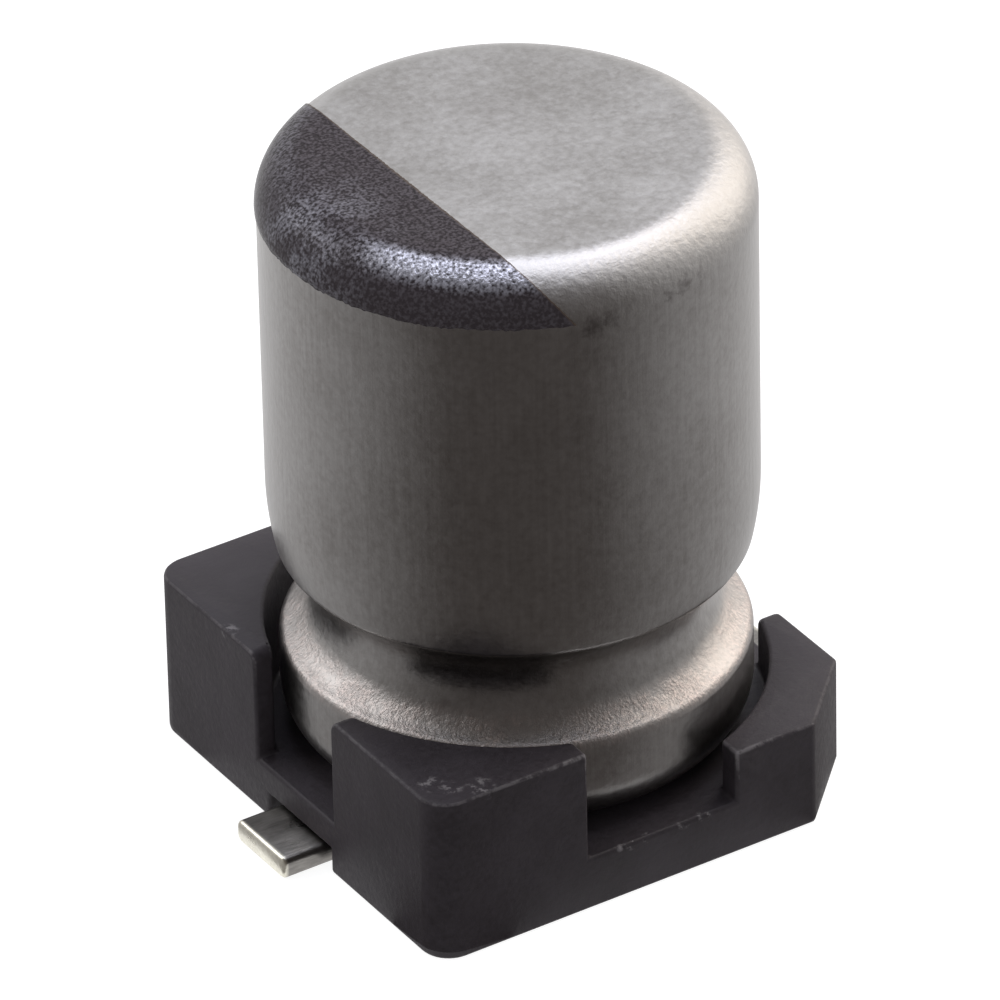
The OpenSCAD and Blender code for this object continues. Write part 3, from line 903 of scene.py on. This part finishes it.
def backgroundRays(tree):
    # 1 for rays that show the background itself: seen directly, in a reflection or through glass
    path = addNode(tree, "LightPath").node.outputs
    most = addNode(tree, "Math", [path["Is Camera Ray"], path["Is Glossy Ray"]], operation="MAXIMUM")
    return addNode(tree, "Math", [most, path["Is Transmission Ray"]], operation="MAXIMUM")


def makeFloor():
    # white where it is seen, with the shadow kept as the darker part of a lit matt surface
    half = stageSizes["floor"] / 2
    corners = [[[-half, -half, 0], [half, -half, 0]], [[-half, half, 0], [half, half, 0]]]
    floor = meshFromGrid("floor", np.array(corners), closed=False)
    material, tree = newMaterial("paleFloor")
    plain = addNode(tree, "BsdfDiffuse", [stageSizes["floorColour"]])
    lit = addNode(tree, "BsdfDiffuse", [stageSizes["shownColour"]])
    glow = addNode(tree, "Emission", {"Strength": stageSizes["shownGlow"]})
    seen = addNode(tree, "AddShader", [lit, glow])
    both = addNode(tree, "MixShader", [backgroundRays(tree), plain, seen])
    addNode(tree, "OutputMaterial", [both])
    floor.data.materials.append(material)


def makeCard():
    # a dark dish in front, seen only by reflections, as a photographer's card keeps the can's middle dark:
    # its section is a quarter turn of an ellipse from the floor up, carried round an arc
    sizes = stageSizes
    stepsUp, stepsRound = sizes["cardSteps"]
    turnDeg = np.linspace(0, 90, stepsUp)[:, None]
    turn = np.radians(turnDeg)
    radius = sizes["cardInner"] + (sizes["cardOuter"] - sizes["cardInner"]) * np.sin(turn)
    height = sizes["cardFoot"] + sizes["cardHeight"] * (1 - np.cos(turn))
    heading = np.linspace(-sizes["cardSweepDeg"], sizes["cardSweepDeg"], stepsRound) + sizes["cardLow"][0]
    angle = np.radians(heading)
    grid = np.stack([radius * np.sin(angle), -radius * np.cos(angle), height + 0 * angle], axis=-1)
    card = meshFromGrid("darkCard", grid, closed=False)
    changeFrom, changeOver = sizes["cardTurnDeg"]
    change = np.clip((turnDeg - changeFrom) / changeOver, 0, 1)
    middle, full, half = [low * (1 - change) + high * change
                          for low, high in zip(sizes["cardLow"], sizes["cardHigh"])]
    fade = np.clip((half - abs(heading - middle)) / (half - full), 0, 1)
    fadeUp = np.clip((90 - turnDeg) / sizes["cardFadeDeg"], 0, 1)
    storeShare(card.data, "share", fade * fadeUp)
    material, tree = newMaterial("darkCard")
    amount = addNode(tree, "Attribute", output="Fac", attribute_name="share")
    clear = addNode(tree, "BsdfTransparent")
    dim = addNode(tree, "Emission", [sizes["cardColour"]])
    both = addNode(tree, "MixShader", [amount, clear, dim])
    addNode(tree, "OutputMaterial", [both])
    card.data.materials.append(material)
    card.visible_camera = False
    card.visible_diffuse = False
    card.visible_shadow = False
    card.visible_transmission = False


def makeWorld():
    # soft white light all round, and full white where the background itself is seen
    world = bpy.data.worlds.new("studio")
    bpy.context.scene.world = world
    world.use_nodes = True
    tree = world.node_tree
    tree.nodes.clear()
    soft = addNode(tree, "Background", ["#ffffff", stageSizes["skySoft"]])
    white = addNode(tree, "Background", ["#ffffff", stageSizes["skyShown"]])
    both = addNode(tree, "MixShader", [backgroundRays(tree), soft, white])
    addNode(tree, "OutputWorld", [both])


# Each lamp: azimuth round from -Y, elevation, distance, width and height in mm, radiance and colour
lamps = {
    "overhead": (140, 76, 34, 26, 30, 2.7, "#e6ecff"),
    "warmSide": (96, 36, 34, 24, 44, 2.25, "#fff4e6"),
    "leftFill": (-140, 36, 40, 26, 24, 2.4, "#ffffff"),
}


def direction(azimuthDeg, elevationDeg):
    # (sin a cos e, -cos a cos e, sin e)
    a, e = np.radians([azimuthDeg, elevationDeg])
    return Vector((np.sin(a) * np.cos(e), -np.cos(a) * np.cos(e), np.sin(e)))


def makeLamps():
    # an area lamp of radiance L and area A has power pi times A times L
    middle = (cadLow + cadHigh) / 2
    for name, (azimuth, elevation, distance, width, height, radiance, colour) in lamps.items():
        data = bpy.data.lights.new(name, "AREA")
        data.shape = "RECTANGLE"
        data.size, data.size_y = width * mm, height * mm
        data.energy = np.pi * width * height * mm * mm * radiance
        data.color = linearColour(colour)[:3]
        lamp = bpy.data.objects.new(name, data)
        away = direction(azimuth, elevation)
        lamp.location = middle + away * distance * mm
        lamp.rotation_euler = away.to_track_quat("Z", "Y").to_euler()
        lamp.visible_camera = False
        bpy.context.scene.collection.objects.link(lamp)


cameraSizes = {
    "azimuth": -32.28,
    "elevation": 32.609,
    "roll": -1.217,
    "distance": 96.644,
    "targetZ": 2.9016,
    "lens": 432,
    "sensor": 36,
    "targetPixel": (512.68, 459.03),
    "frame": 1000,
    "clip": (10, 2000),
}


def makeCamera():
    # looks along the photo's direction at the target, which the shift puts on its own pixel of the frame
    sizes = cameraSizes
    data = bpy.data.cameras.new("camera")
    data.lens, data.sensor_width = sizes["lens"], sizes["sensor"]
    data.shift_x = 0.5 - sizes["targetPixel"][0] / sizes["frame"]
    data.shift_y = sizes["targetPixel"][1] / sizes["frame"] - 0.5
    data.clip_start, data.clip_end = [clip * mm for clip in sizes["clip"]]
    back = direction(sizes["azimuth"], sizes["elevation"])
    azimuth, roll = np.radians([sizes["azimuth"], sizes["roll"]])
    level = Vector((np.cos(azimuth), np.sin(azimuth), 0))
    upright = back.cross(level)
    right = level * np.cos(roll) + upright * np.sin(roll)
    up = upright * np.cos(roll) - level * np.sin(roll)
    camera = bpy.data.objects.new("camera", data)
    place = Vector((0, 0, sizes["targetZ"] * mm)) + back * sizes["distance"] * mm
    camera.matrix_world = Matrix.Translation(place) @ Matrix((right, up, back)).transposed().to_4x4()
    bpy.context.scene.collection.objects.link(camera)
    bpy.context.scene.camera = camera


print("making the pieces")
finishPiece(makeCan(), drawnAluminium(), ["can"], canSizes["sharpDeg"])
finishPiece(makeInk(), printedInk(), ["polarity_mark"], inkSizes["sharpDeg"])
finishPiece(makeBase(), mouldedPlastic(), ["base_plate"], 0)
tin = tinPlate()
finishPiece(makeLead("positiveLead", 1), tin, ["positive_terminal"], leadSizes["sharpDeg"])
finishPiece(makeLead("negativeLead", -1), tin, ["negative_terminal"], leadSizes["sharpDeg"])
print("dressing the pieces inside")
dressInside()
print("setting the stage")
makeFloor()
makeCard()
makeWorld()
makeLamps()
makeCamera()
bpy.context.scene.view_settings.view_transform = "Standard"
